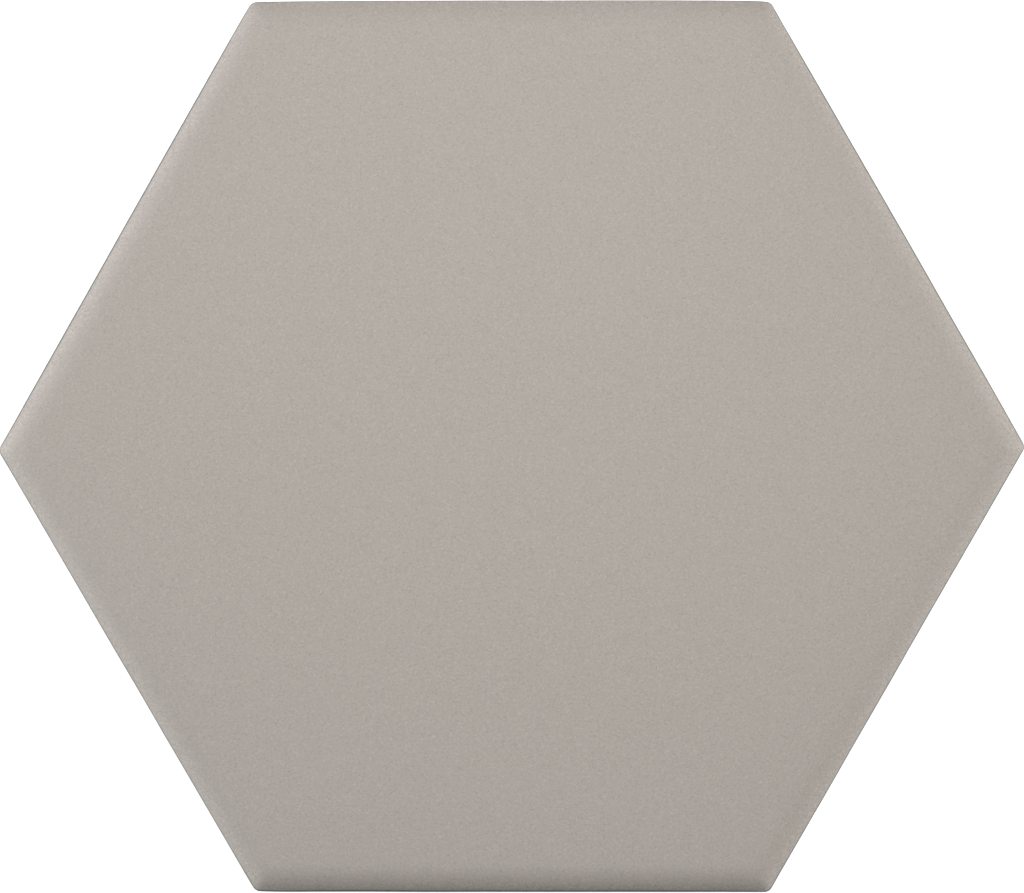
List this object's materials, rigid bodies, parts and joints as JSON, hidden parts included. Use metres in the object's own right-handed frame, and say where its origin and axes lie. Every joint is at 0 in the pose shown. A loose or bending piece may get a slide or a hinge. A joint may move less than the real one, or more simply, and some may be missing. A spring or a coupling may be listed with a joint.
{
  "type": "hexagonal porcelain tile",
  "caption": "Hexagonal matt porcelain tile with softly rolled edges, rounded corners and a honeycomb of shallow adhesive keys pressed into its back.",
  "frame": {"origin": "centre of the back, on the plane that the ribs and rim of the back stand on", "axes": "+Z out of the glazed face, +Y square to one side of the hexagon, +X towards one of its corners"},
  "size_m": [0.1162, 0.101, 0.009],
  "materials": {
    "matt_glaze": "matte"
  },
  "bodies": {
    "root": {"tile": "matt_glaze"}
  },
  "joints": []
}
